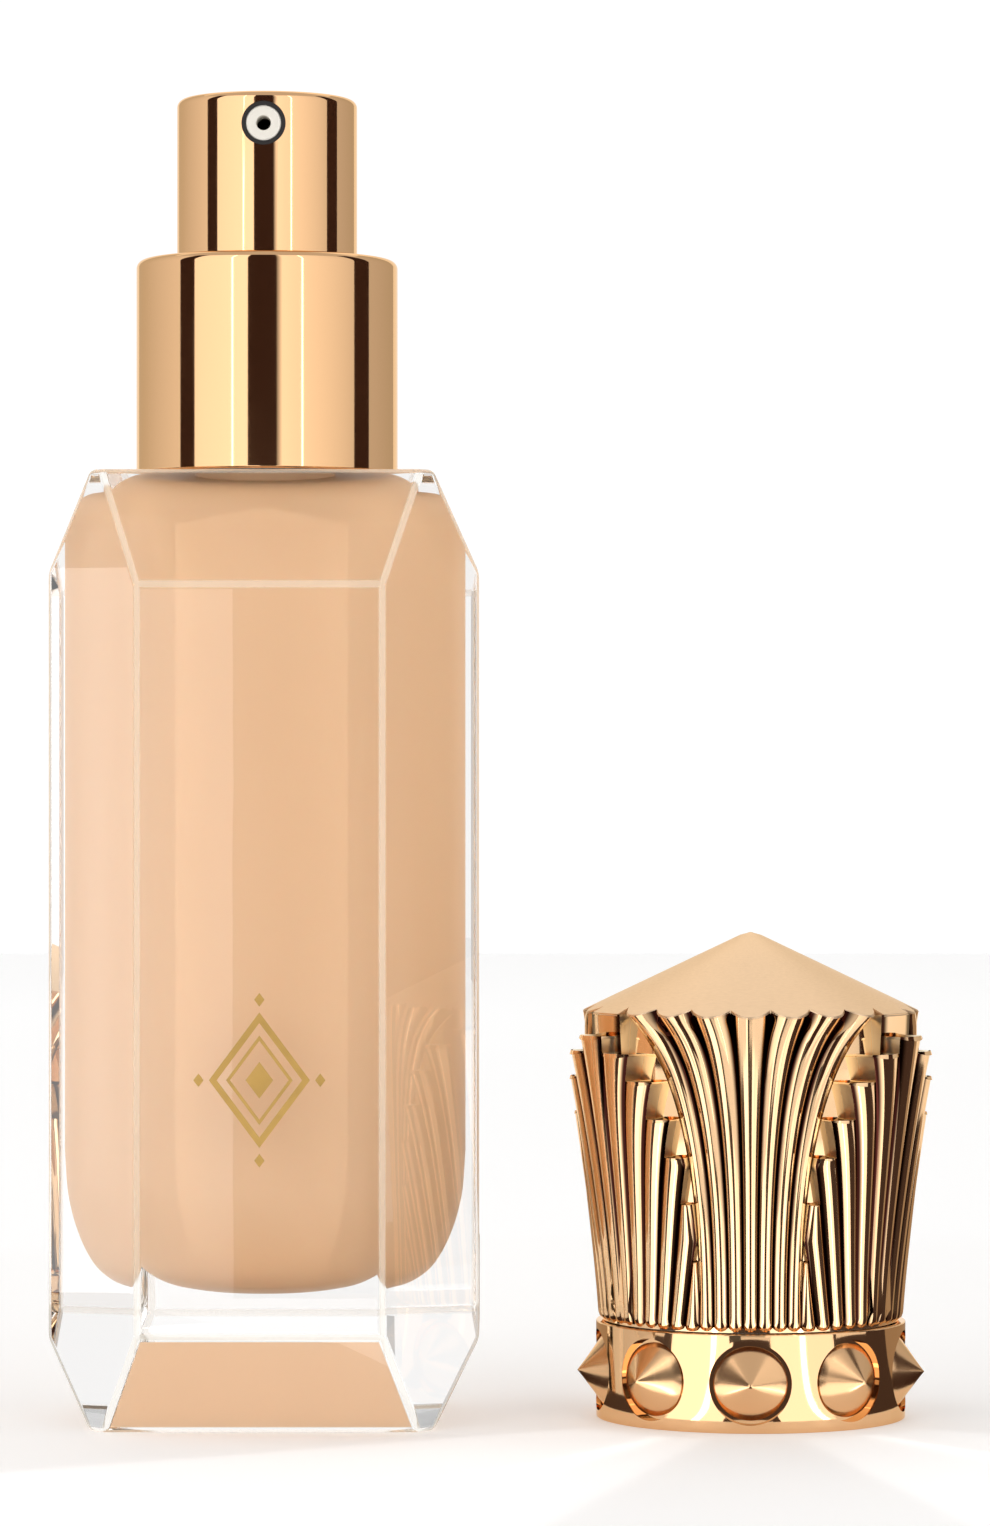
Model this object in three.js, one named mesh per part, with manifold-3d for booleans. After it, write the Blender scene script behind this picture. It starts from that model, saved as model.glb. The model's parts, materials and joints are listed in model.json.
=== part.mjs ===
// Foundation bottle with a metal pump collar and a crown-shaped cap standing beside it.
// Millimetres, +Z up. The origin is the centre of the bottle's base. The nozzle points along -Y.
import * as THREE from 'three';
import { mergeVertices } from 'three/addons/utils/BufferGeometryUtils.js';
import Module from 'manifold-3d';

const wasm = await Module();
wasm.setup();

// ---- Driving dimensions ----

// glass
const bottleWidth = 38.2;
const bottleDepth = 33;
const glassHeight = 84.5;
const cornerWidth = 8.35;
const cornerDepth = 9;
const shoulderSide = { inset: 4.05, drop: 8.9 };
const shoulderFront = { inset: 3.6, drop: 10.2 };
const baseSide = { inset: 4, rise: 7.7 };
const baseFront = { inset: 3.4, rise: 8.7 };
const cavityWidth = 29;
const cavityDepth = 23;
const cavityFloor = 11.5;
const cavityBowl = 7.5;
const cavityBowlPower = 2.5;
const cavityShoulderRound = 3.8;
const cavityTopWall = 1.7;

// neck and its thread
const neckWall = 2;
const neckHeight = 9.5;
const threadPitch = 3;
const threadTurns = 1.5;
const threadSize = 0.8;
const threadStart = 2.1;

// pump
const gasketThickness = 0.6;
const housingWall = 1;
const housingFlange = 1;
const housingLength = 28.6;
const tubeRadius = 1.5;
const tubeBore = 1;
const tubeAboveFloor = 3.2;
const socketWall = 1.25;
const socketDepth = 4;
const ballRadius = 1.4;
const seatLip = 0.5;
const seatThickness = 0.6;
const chamberHeight = 4.4;
const ballRoom = 0.8;
const stemRadius = 2.2;
const stemBore = 1.1;
const stemFlange = 1.4;
const stemReach = 4.95;
const stroke = 4;
const pistonLength = 5;
const springWire = 0.8;
const springTurns = 7;
const turretWall = 1.7;
const retainerPlug = 4;
const pistonStop = 0.6;
const turretRise = 0.4;

// closure, collar and actuator
const closureWall = 1.85;
const closureDeck = 1.2;
const collarHeight = 19.2;
const collarWall = 0.5;
const collarRound = 1;
const actuatorRadius = 8.1;
const actuatorShown = 14.45;
const actuatorSkirt = 2;
const actuatorWall = 0.4;
const actuatorRound = 0.8;
const nozzleBelowTop = 2.9;
const nozzleRadius = 1.6;
const nozzleRing = 0.36;
const orificeRadius = 0.65;

// cap
const capSpacing = 24.4;
const capTurn = 2.7;
const capHeadroom = 1.5;
const linerWall = 0.6;
const linerLift = 0.4;
const bandWall = 1.25;
const bandMargin = 0.7;
const studCount = 9;
const studRadius = 3.24;
const studHeight = 2.6;
const dishMargin = 0.39;
const dishWall = 0.45;
const crownWall = 1.05;
const sectors = 3;
const fanRise = 1.4;
const fanRibs = 7;
const fanSpan = 39.2;
const fanSpread = 1.607;
const fanSwell = 0.4;
const stepRise = 2.95;
const stepFull = 0.866;
const stepSwell = 0.35;
const stepDrops = [1.35, 2.85, 5.3, 8.65, 12.05, 16.25, 21.45];
const ribOverlap = 0.4;
const roofHeight = 7.15;
const roofWall = 1;
const roofPlug = 1;
const roofUnderhang = 0.35;

// clearances
const pressGap = 0.08;
const restGap = 0.1;
const sealGap = 0.05;
const slideGap = 0.2;
const cutGap = 0.3;
const springRoom = 0.4;
const boreRoom = 1.1;
const neckRoom = 0.7;

// ---- Places worked out from the dimensions ----

// pump, from the stem outwards
const springRadius = stemRadius + springRoom + springWire / 2;
const housingBore = springRadius + springWire / 2 + boreRoom;
const housingRadius = housingBore + housingWall;
const boreRadius = housingRadius + neckRoom;
const neckRadius = boreRadius + neckWall;
const turretBore = stemRadius + slideGap;
const turretRadius = turretBore + turretWall;
const chamberRadius = ballRadius + ballRoom;
const seatRadius = ballRadius - seatLip;
const socketBore = tubeRadius + pressGap;
const socketRadius = tubeRadius + socketWall;

// closure, collar and cap, from the neck outwards
const closureInner = neckRadius + threadSize + cutGap;
const closureOuter = closureInner + closureWall;
const collarRadius = closureOuter + restGap + collarWall;
const linerInner = collarRadius + slideGap;
const linerOuter = linerInner + linerWall;
const bandInner = linerOuter + restGap;
const bandRadius = bandInner + bandWall;
const dishRadius = studRadius + dishMargin;
const dishFloor = bandInner + dishWall;
const crownFoot = bandRadius - slideGap;
const eaveRadius = crownFoot + fanRise;
const capStand = bottleWidth / 2 + capSpacing;

// heights, from the neck up
const neckTop = glassHeight + neckHeight;
const gasketTop = neckTop + gasketThickness;
const flangeTop = gasketTop + housingFlange;
const deckBottom = flangeTop + restGap;
const deckTop = deckBottom + closureDeck;
const turretTop = deckTop + turretRise;
const collarBottom = glassHeight + restGap + sealGap;
const collarTop = collarBottom + collarHeight;
const actuatorTop = collarTop + actuatorShown;
const actuatorBottom = collarTop - actuatorSkirt;
const nozzleHeight = actuatorTop - nozzleBelowTop;
const nozzleBack = -(actuatorRadius - actuatorWall - 2.4);

// heights, from the flange down
const plugBottom = flangeTop - retainerPlug;
const pistonTop = plugBottom - pistonStop;
const pistonBottom = pistonTop - pistonLength;
const flangeBottom = pistonBottom - stemFlange;
const stemTop = actuatorBottom + stemReach;
const housingFloor = flangeTop - housingLength;
const seatBottom = housingFloor - chamberHeight;
const socketTop = seatBottom - seatThickness;
const housingBottom = socketTop - socketDepth;
const tubeBottom = cavityFloor + tubeAboveFloor;

// heights on the cap
const bandHeight = 2 * (dishRadius + bandMargin);
const linerTop = actuatorTop - glassHeight + capHeadroom + linerWall;
const crownBottom = bandHeight + restGap;
const crownTop = linerTop + slideGap + roofUnderhang;
const crownHeight = crownTop - crownBottom;
const roofFoot = crownTop + sealGap;
const stepTops = stepDrops.map((drop) => crownTop - drop);

const roundFine = 36;
const roundSmall = 20;
const degree = Math.PI / 180;

// ---- Materials ----

const glass = () => new THREE.MeshStandardMaterial({
  color: 0xf4f4f2, roughness: 0.02, metalness: 0, transparent: true, opacity: 0.35,
});
const finish = (color, roughness, metalness) => () =>
  new THREE.MeshStandardMaterial({ color, roughness, metalness });
const foundation = finish(0xf0c7a0, 0.5, 0);
const polishedGold = finish(0xe0b47c, 0.08, 1);
const satinGold = finish(0xe4bc8a, 0.35, 1);
const creamPlastic = finish(0xf3efe6, 0.35, 0);
const blackPlastic = finish(0x161413, 0.4, 0);
const clearPlastic = finish(0xe9e6df, 0.25, 0);
const sealRubber = finish(0xdcd8cf, 0.8, 0);
const springSteel = finish(0xb9bcc0, 0.25, 1);

// ---- Geometry helpers ----

function signedVolume(corners, triangles) {
  const [a, b, c] = [new THREE.Vector3(), new THREE.Vector3(), new THREE.Vector3()];
  let volume = 0;
  for (let i = 0; i < triangles.length; i += 3) {
    a.fromArray(corners, 3 * triangles[i]);
    b.fromArray(corners, 3 * triangles[i + 1]);
    c.fromArray(corners, 3 * triangles[i + 2]);
    volume += a.dot(b.cross(c)) / 6;
  }
  return volume;
}

// A closed geometry as a solid that can be joined and cut.
function solid(geometry) {
  const bare = geometry.clone();
  bare.deleteAttribute('normal');
  bare.deleteAttribute('uv');
  const merged = mergeVertices(bare, 1e-4);
  const corners = Float32Array.from(merged.getAttribute('position').array);
  const triangles = [];
  const index = merged.index.array;
  for (let i = 0; i < index.length; i += 3) {
    const [a, b, c] = index.slice(i, i + 3);
    if (a !== b && b !== c && c !== a) triangles.push(a, b, c);
  }
  if (signedVolume(corners, triangles) < 0) triangles.reverse();
  const mesh = new wasm.Mesh({
    numProp: 3, vertProperties: corners, triVerts: Uint32Array.from(triangles),
  });
  return new wasm.Manifold(mesh);
}

function piece(name, body, material) {
  const { vertProperties, triVerts } = body.getMesh();
  const geometry = new THREE.BufferGeometry();
  geometry.setAttribute('position', new THREE.BufferAttribute(vertProperties, 3));
  geometry.setIndex(new THREE.BufferAttribute(triVerts, 1));
  geometry.computeVertexNormals();
  const mesh = new THREE.Mesh(geometry, material());
  mesh.name = name;
  return mesh;
}

const joined = (solids) => solids.reduce((all, next) => all.add(next));

// A profile of [radius, height] pairs turned round +Z. One that misses the axis closes on itself.
function turned(profile, segments = roundFine) {
  const points = profile.map(([radius, height]) => new THREE.Vector2(radius, height));
  const onAxis = points[0].x === 0 && points[points.length - 1].x === 0;
  if (!onAxis) points.push(points[0].clone());
  return new THREE.LatheGeometry(points, segments).rotateX(Math.PI / 2);
}

// Points along a quarter of an ellipse about a centre, from one angle to another in degrees.
function arc(centre, radii, from, to, steps) {
  const points = [];
  for (let i = 0; i <= steps; i += 1) {
    const angle = (from + (to - from) * i / steps) * degree;
    points.push([centre[0] + radii[0] * Math.cos(angle), centre[1] + radii[1] * Math.sin(angle)]);
  }
  return points;
}

function outline(points) {
  return new THREE.Shape(points.map(([x, y]) => new THREE.Vector2(x, y)));
}

function extruded(points, depth) {
  return new THREE.ExtrudeGeometry(outline(points), { depth, bevelEnabled: false });
}

// An outline in X and Z, extruded through the whole depth about Y = 0.
function acrossDepth(points, depth) {
  return extruded(points, depth).rotateX(Math.PI / 2).translate(0, depth / 2, 0);
}

// A rod along Y from one place to another at a height on the axis.
function rodAlongY(radius, from, to, height, segments = roundSmall) {
  const rod = new THREE.CylinderGeometry(radius, radius, Math.abs(to - from), segments);
  return rod.translate(0, (from + to) / 2, height);
}

class Helix extends THREE.Curve {
  constructor(radius, pitch, turns, bottom, turn = 0) {
    super();
    Object.assign(this, { radius, pitch, turns, bottom, turn });
  }

  getPoint(t, target = new THREE.Vector3()) {
    const angle = t * this.turns * 2 * Math.PI + this.turn;
    const height = this.bottom + t * this.turns * this.pitch;
    return target.set(this.radius * Math.cos(angle), this.radius * Math.sin(angle), height);
  }
}

function coil(helix, sectionRadius, stepsPerTurn) {
  const section = new THREE.Shape();
  section.absarc(0, 0, sectionRadius, 0, 2 * Math.PI, false);
  const steps = Math.round(helix.turns * stepsPerTurn);
  return new THREE.ExtrudeGeometry(section, { steps, curveSegments: 3, extrudePath: helix });
}

// ---- Bottle ----

function slantedOutline(size, top, base) {
  const half = size / 2;
  const side = [
    [half - base.inset, 0],
    [half, base.rise],
    [half, glassHeight - top.drop],
    [half - top.inset, glassHeight],
  ];
  return [...side, ...side.map(([x, z]) => [-x, z]).reverse()];
}

function emeraldBlock() {
  const [x, y] = [bottleWidth / 2, bottleDepth / 2];
  const [cx, cy] = [x - cornerWidth, y - cornerDepth];
  const plan = [[x, -cy], [x, cy], [cx, y], [-cx, y], [-x, cy], [-x, -cy], [-cx, -y], [cx, -y]];
  const prism = solid(extruded(plan, glassHeight));
  const sides = acrossDepth(slantedOutline(bottleWidth, shoulderSide, baseSide), 2 * bottleDepth);
  const front = acrossDepth(slantedOutline(bottleDepth, shoulderFront, baseFront), 2 * bottleWidth);
  return prism.intersect(solid(sides)).intersect(solid(front.rotateZ(Math.PI / 2)));
}

// The floor of the well in section: nearly flat in the middle and round towards the wall.
function bowl(half, bottom, steps) {
  const points = [];
  for (let i = 0; i <= steps; i += 1) {
    const angle = (Math.PI / 2) * (i / steps);
    const out = Math.sin(angle) ** (2 / cavityBowlPower);
    const up = i < steps ? 1 - Math.cos(angle) ** (2 / cavityBowlPower) : 1;
    points.push([half * out, bottom + cavityBowl * up]);
  }
  return points;
}

// The hollow inside the glass, an oval well with a rounded floor and shoulder. It is
// drawn as half the width against height; an inward gap shrinks it for what fills it.
function cavity(gap) {
  const half = cavityWidth / 2 - gap;
  const roof = glassHeight - cavityTopWall - gap;
  const shoulder = arc([half - cavityShoulderRound, roof - cavityShoulderRound],
    [cavityShoulderRound, cavityShoulderRound], 0, 90, 3);
  const profile = [...bowl(half, cavityFloor + gap, 8), ...shoulder, [0, roof]];
  return turned(profile).scale(1, (cavityDepth / 2 - gap) / half, 1);
}

function glassBottle() {
  const neck = turned([[0, glassHeight - 1], [neckRadius, glassHeight - 1],
    [neckRadius, neckTop], [0, neckTop]]);
  const ridge = new Helix(neckRadius, threadPitch, threadTurns, glassHeight + threadStart);
  const bore = turned([[0, glassHeight - 2 * cavityTopWall], [boreRadius, glassHeight - 2 * cavityTopWall],
    [boreRadius, neckTop + 1], [0, neckTop + 1]]);
  return joined([emeraldBlock(), solid(neck), solid(coil(ridge, threadSize, 12))])
    .subtract(solid(cavity(0)))
    .subtract(solid(bore));
}

// The foundation fills the well up to the shoulder and leaves room for the pump.
function foundationFluid() {
  const [tube, socket, housing] = [tubeRadius, socketRadius, housingRadius].map((r) => r + cutGap);
  const room = turned([
    [0, tubeBottom - cutGap],
    [tube, tubeBottom - cutGap],
    [tube, housingBottom - cutGap],
    [socket, housingBottom - cutGap],
    [socket, socketTop],
    [housing, housingFloor - 1.8],
    [housing, glassHeight],
    [0, glassHeight],
  ], roundSmall);
  return solid(cavity(pressGap)).subtract(solid(room));
}

// ---- Pump ----

function neckGasket() {
  const [bottom, top] = [neckTop + sealGap / 2, gasketTop - sealGap / 2];
  return solid(turned([[boreRadius, bottom], [neckRadius, bottom], [neckRadius, top],
    [boreRadius, top]], roundSmall));
}

function pumpHousing() {
  return solid(turned([
    [socketBore, housingBottom],
    [socketRadius, housingBottom],
    [socketRadius, socketTop + 0.8],
    [housingRadius, housingFloor - 1.2],
    [housingRadius, gasketTop],
    [neckRadius, gasketTop],
    [neckRadius, flangeTop],
    [housingBore, flangeTop],
    [housingBore, housingFloor],
    [chamberRadius, housingFloor],
    [chamberRadius, seatBottom + chamberRadius - seatRadius],
    [seatRadius, seatBottom],
    [seatRadius, socketTop],
    [socketBore, socketTop],
  ], roundSmall));
}

function checkBall() {
  // The ball sits on a 45 degree cone with a hair's gap.
  const coneTip = seatBottom - seatRadius;
  const centre = coneTip + (ballRadius + sealGap) * Math.SQRT2;
  return solid(new THREE.SphereGeometry(ballRadius, 12, 8).translate(0, 0, centre));
}

function dipTube() {
  const top = socketTop - restGap;
  return solid(turned([[tubeBore, tubeBottom], [tubeRadius, tubeBottom], [tubeRadius, top],
    [tubeBore, top]], roundSmall));
}

function returnSpring() {
  const bottom = housingFloor + springWire / 2 + sealGap;
  const top = flangeBottom - springWire / 2 - restGap;
  const helix = new Helix(springRadius, (top - bottom) / springTurns, springTurns, bottom);
  return solid(coil(helix, springWire / 2, 10));
}

function pistonStem() {
  const flangeRadius = springRadius + springWire / 2 + slideGap;
  return solid(turned([
    [stemBore, flangeBottom - 1],
    [stemRadius, flangeBottom - 1],
    [stemRadius, flangeBottom],
    [flangeRadius, flangeBottom],
    [flangeRadius, pistonBottom - restGap],
    [stemRadius, pistonBottom - restGap],
    [stemRadius, stemTop],
    [stemBore, stemTop],
  ], roundSmall));
}

function piston() {
  const inner = stemRadius + sealGap;
  const outer = housingBore - sealGap;
  const waist = outer - 0.5;
  return solid(turned([
    [inner, pistonBottom],
    [outer, pistonBottom],
    [outer, pistonBottom + 1],
    [waist, pistonBottom + 1.5],
    [waist, pistonTop - 1.5],
    [outer, pistonTop - 1],
    [outer, pistonTop],
    [inner, pistonTop],
  ], roundSmall));
}

function housingRetainer() {
  const plug = housingBore - pressGap;
  const shoulder = flangeTop + sealGap;
  return solid(turned([[turretBore, plugBottom], [plug, plugBottom], [plug, shoulder],
    [turretRadius, shoulder], [turretRadius, turretTop], [turretBore, turretTop]], roundSmall));
}

// ---- Closure, collar and actuator ----

function screwClosure() {
  const ring = turned([
    [closureInner, collarBottom + cutGap],
    [closureOuter, collarBottom + cutGap],
    [closureOuter, deckTop],
    [turretRadius + slideGap, deckTop],
    [turretRadius + slideGap, deckBottom],
    [closureInner, deckBottom],
  ]);
  // The same helix as the neck's, half a turn round, so that its ridge lies between the neck's.
  const ridge = new Helix(closureInner + sealGap, threadPitch, threadTurns,
    glassHeight + threadStart, Math.PI);
  return solid(ring).add(solid(coil(ridge, threadSize, 12)));
}

// A thin turned shell with a rounded top edge; its top has a round opening, or none.
function cupShell(radius, wall, round, bottom, top, opening) {
  const inner = Math.max(round - wall, 0.1);
  const outerEdge = arc([radius - round, top - round], [round, round], 0, 90, 3);
  const innerEdge = arc([radius - wall - inner, top - wall - inner], [inner, inner], 90, 0, 2);
  return turned([...(opening ? [] : [[0, top - wall]]), ...(opening ? [] : innerEdge),
    [radius - wall, bottom], [radius, bottom], ...outerEdge,
    ...(opening ? [[opening, top], [opening, top - wall], ...innerEdge] : [[0, top]])]);
}

function collarShell() {
  const opening = actuatorRadius + cutGap;
  return solid(cupShell(collarRadius, collarWall, collarRound, collarBottom, collarTop, opening));
}

function actuatorShell() {
  const shell = cupShell(actuatorRadius, actuatorWall, actuatorRound, actuatorBottom, actuatorTop);
  const hole = rodAlongY(nozzleRadius + nozzleRing, -actuatorRadius - 1, -actuatorRadius / 2, nozzleHeight);
  return solid(shell).subtract(solid(hole));
}

function actuatorCore() {
  const outer = actuatorRadius - actuatorWall - restGap;
  const head = actuatorBottom + 6.2;
  const top = actuatorTop - actuatorWall - restGap;
  const bossBottom = turretTop + stroke + slideGap;
  const bore = stemRadius + sealGap;
  const riser = stemBore - 0.1;
  const body = turned([
    [0, nozzleHeight + riser],
    [riser, nozzleHeight + riser],
    [riser, stemTop + restGap],
    [bore, stemTop + restGap],
    [bore, bossBottom],
    [stemRadius + 1.4, bossBottom],
    [stemRadius + 1.4, head],
    [outer - 1, head],
    [outer - 1, actuatorBottom + 0.4],
    [outer, actuatorBottom + 0.4],
    [outer, top - 0.5],
    [outer - 0.5, top],
    [0, top],
  ], roundSmall);
  const outlet = rodAlongY(orificeRadius, -outer, 0, nozzleHeight, 12);
  const pocket = rodAlongY(nozzleRadius + sealGap, -outer - 1, nozzleBack + restGap, nozzleHeight);
  return solid(body).subtract(solid(outlet)).subtract(solid(pocket));
}

function nozzleInsert() {
  const front = -(actuatorRadius - restGap);
  const body = rodAlongY(nozzleRadius, front, nozzleBack, nozzleHeight);
  const orifice = rodAlongY(orificeRadius, front - 1, nozzleBack + 1, nozzleHeight, 12);
  return solid(body).subtract(solid(orifice));
}

// ---- Cap ----

function capLiner() {
  const ceiling = linerTop - linerWall;
  return solid(turned([[0, ceiling], [linerInner, ceiling], [linerInner, linerLift],
    [linerOuter, linerLift], [linerOuter, linerTop], [0, linerTop]]));
}

const studAngle = (index) => (index * 360 / studCount) * degree;

// Turns a shape that points along +Z so that it points outward from the cap's axis, to the front at 0.
function facingOut(geometry, angle, distance) {
  return geometry.rotateX(Math.PI / 2).translate(0, -distance, bandHeight / 2).rotateZ(angle);
}

function capBand() {
  const ring = turned([[bandInner, 0], [bandRadius, 0], [bandRadius, bandHeight],
    [bandInner, bandHeight]], 2 * roundSmall);
  let band = solid(ring);
  for (let i = 0; i < studCount; i += 1) {
    const dish = extruded(arc([0, 0], [dishRadius, dishRadius], 0, 340, 17), bandWall + 1);
    band = band.subtract(solid(facingOut(dish, studAngle(i), dishFloor)));
  }
  return band;
}

function capStud(index) {
  const cone = new THREE.ConeGeometry(studRadius, studHeight, roundSmall - 4);
  cone.rotateX(Math.PI / 2).translate(0, 0, studHeight / 2);
  return solid(facingOut(cone, studAngle(index), dishFloor + sealGap));
}

// How far up the crown a height lies, from 0 at its foot to 1 at the eave.
const rise = (height) => (height - crownBottom) / crownHeight;
const fanRadius = (s) => crownFoot + fanRise * s ** 1.5;
const stepRadius = (s) => crownFoot + stepRise * (s / stepFull) ** 1.3;
const fanOpening = (s) => 1 + 1.05 * s ** 2.8 + (fanSpread - 1.05) * s ** 12;
const stepOpening = (s) => 1 + 0.6 * s + s ** 6;

// The ribs bend together, where every second step ends, so that neighbours meet along the same lines.
const ribBends = stepTops.filter((_, index) => index % 2 === 1).reverse();

// One rib: a box bent round the axis. edge(side, s) gives its sides in degrees for side -1 and +1,
// and radius(s) its crest; the crest stands above the grooves by the rib's swell.
function rib({ centre, edge, radius, top, swell }) {
  const levels = [crownBottom, ...ribBends.filter((bend) => bend < top), top];
  const rows = levels.length - 1;
  const block = new THREE.BoxGeometry(2, 1, rows, 2, 1, rows);
  const place = block.getAttribute('position');
  const corner = new THREE.Vector3();
  for (let i = 0; i < place.count; i += 1) {
    corner.fromBufferAttribute(place, i);
    const s = rise(levels[Math.round(corner.z + rows / 2)]);
    const crest = radius(s) - swell * corner.x ** 2;
    const reach = corner.y < 0 ? crest : crownFoot - crownWall / 2;
    const middle = (edge(1, s) + edge(-1, s)) / 2;
    const half = (edge(1, s) - edge(-1, s)) / 2 + ribOverlap;
    const angle = (centre + middle + corner.x * half) * degree;
    corner.set(reach * Math.sin(angle), -reach * Math.cos(angle), crownBottom + s * crownHeight);
    place.setXYZ(i, corner.x, corner.y, corner.z);
  }
  return solid(block);
}

function fanRib(centre, index) {
  const pitch = fanSpan / fanRibs;
  const edge = (side, s) => pitch * (index + side / 2) * fanOpening(s);
  return rib({ centre, edge, radius: fanRadius, top: crownTop, swell: fanSwell });
}

function stepRib(centre, index) {
  const pitch = (360 / sectors - fanSpan) / (2 * stepTops.length - 1);
  const limit = (s) => 180 / sectors - fanSpan / 2 * fanOpening(s);
  const edge = (side, s) => {
    const free = pitch * (index + side / 2) * stepOpening(s);
    return THREE.MathUtils.clamp(free, -limit(s) - 1, limit(s) + 1);
  };
  return rib({ centre, edge, radius: stepRadius, top: stepTops[Math.abs(index)], swell: stepSwell });
}

function capCrown() {
  const rings = 5;
  const wall = [];
  for (let i = 0; i <= rings; i += 1) {
    wall.push([fanRadius(i / rings) - fanSwell + sealGap, crownBottom + crownHeight * i / rings]);
  }
  const plugSeat = eaveRadius - roofWall;
  const plugFloor = crownTop - roofPlug - restGap;
  const core = turned([
    [bandInner, crownBottom],
    ...wall,
    [plugSeat, crownTop],
    [plugSeat, plugFloor],
    [bandInner, plugFloor],
  ], 2 * roundSmall);
  const ribs = [];
  for (let k = 0; k < sectors; k += 1) {
    const fan = k * 360 / sectors;
    const steps = fan + 180 / sectors;
    for (let i = 0; i < fanRibs; i += 1) ribs.push(fanRib(fan, i - (fanRibs - 1) / 2));
    for (let i = 1 - stepTops.length; i < stepTops.length; i += 1) ribs.push(stepRib(steps, i));
  }
  const hollow = turned([[0, crownBottom - 1], [bandInner, crownBottom - 1], [bandInner, plugFloor],
    [plugSeat, plugFloor], [plugSeat, crownTop + 1], [0, crownTop + 1]], 2 * roundSmall);
  return joined([solid(core), ...ribs]).subtract(solid(hollow));
}

function capRoof() {
  const apex = roofFoot + roofHeight;
  const slope = roofHeight / eaveRadius;
  const plugOuter = eaveRadius - roofWall - restGap;
  const plugInner = plugOuter - crownWall;
  const under = (radius) => apex - roofWall - restGap - slope * radius;
  const tip = [[1.2, apex - slope * 1.2], [0.5, apex - 0.25], [0, apex - 0.1]];
  return solid(turned([
    [0, under(0)],
    [plugInner, under(plugInner)],
    [plugInner, roofFoot - roofPlug],
    [plugOuter, roofFoot - roofPlug],
    [plugOuter, roofFoot],
    [eaveRadius, roofFoot],
    ...tip,
  ], 2 * roundSmall));
}

function cap() {
  const parts = new THREE.Group();
  parts.add(piece('cap_crown', capCrown(), polishedGold));
  parts.add(piece('cap_roof', capRoof(), satinGold));
  parts.add(piece('cap_band', capBand(), polishedGold));
  parts.add(piece('cap_liner', capLiner(), creamPlastic));
  for (let i = 0; i < studCount; i += 1) {
    parts.add(piece(`cap_stud_${i + 1}`, capStud(i), polishedGold));
  }
  parts.rotation.z = -capTurn * degree;
  parts.position.x = capStand;
  return parts;
}

// ---- The whole object ----

const group = new THREE.Group();
group.add(piece('glass_bottle', glassBottle(), glass));
group.add(piece('foundation_fluid', foundationFluid(), foundation));
group.add(piece('neck_gasket', neckGasket(), sealRubber));
group.add(piece('pump_housing', pumpHousing(), clearPlastic));
group.add(piece('housing_retainer', housingRetainer(), creamPlastic));
group.add(piece('dip_tube', dipTube(), clearPlastic));
group.add(piece('check_ball', checkBall(), springSteel));
group.add(piece('return_spring', returnSpring(), springSteel));
group.add(piece('piston_stem', pistonStem(), creamPlastic));
group.add(piece('piston', piston(), sealRubber));
group.add(piece('screw_closure', screwClosure(), creamPlastic));
group.add(piece('collar_shell', collarShell(), polishedGold));
group.add(piece('actuator_core', actuatorCore(), blackPlastic));
group.add(piece('actuator_shell', actuatorShell(), polishedGold));
group.add(piece('nozzle_insert', nozzleInsert(), creamPlastic));
group.add(cap());

export default group;
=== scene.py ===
"""Foundation bottle with a metal pump collar and a crown cap: the looks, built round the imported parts.

Metres, +Z up. Sizes are written in millimetres and turned to metres by MM.
"""

import json
import math

import bmesh
import bpy
from mathutils import Matrix, Vector


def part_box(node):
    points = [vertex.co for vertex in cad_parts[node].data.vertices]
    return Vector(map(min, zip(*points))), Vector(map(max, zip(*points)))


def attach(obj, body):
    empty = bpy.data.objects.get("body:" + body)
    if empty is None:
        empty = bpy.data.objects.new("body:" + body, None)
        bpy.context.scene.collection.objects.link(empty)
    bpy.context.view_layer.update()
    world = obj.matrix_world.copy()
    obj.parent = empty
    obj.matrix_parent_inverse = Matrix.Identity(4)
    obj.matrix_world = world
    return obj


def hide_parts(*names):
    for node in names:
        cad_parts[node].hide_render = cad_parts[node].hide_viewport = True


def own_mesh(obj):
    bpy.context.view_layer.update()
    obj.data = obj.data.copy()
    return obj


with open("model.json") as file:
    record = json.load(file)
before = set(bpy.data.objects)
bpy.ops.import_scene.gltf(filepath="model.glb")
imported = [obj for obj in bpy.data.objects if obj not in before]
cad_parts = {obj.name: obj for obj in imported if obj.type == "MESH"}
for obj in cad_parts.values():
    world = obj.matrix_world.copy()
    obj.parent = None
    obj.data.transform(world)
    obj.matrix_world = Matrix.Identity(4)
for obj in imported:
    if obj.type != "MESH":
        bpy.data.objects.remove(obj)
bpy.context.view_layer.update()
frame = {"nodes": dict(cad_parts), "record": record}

MM = 0.001
TAU = 2 * math.pi


# ---- Places taken from the frame ----

def span(node):
    """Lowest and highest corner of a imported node, in millimetres."""
    low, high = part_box(node)
    return Vector(low) / MM, Vector(high) / MM


glass_low, glass_high = span("glass_bottle")
fluid_low, fluid_high = span("foundation_fluid")
collar_low, collar_high = span("collar_shell")
head_low, head_high = span("actuator_shell")
nozzle_low, nozzle_high = span("nozzle_insert")
band_low, band_high = span("cap_band")
crown_low, crown_high = span("cap_crown")
roof_low, roof_high = span("cap_roof")
liner_low, liner_high = span("cap_liner")
closure_low, closure_high = span("screw_closure")

CAP_X = (liner_low.x + liner_high.x) / 2
CAP_TURN = -2.7


# ---- Shader writing ----

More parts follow.
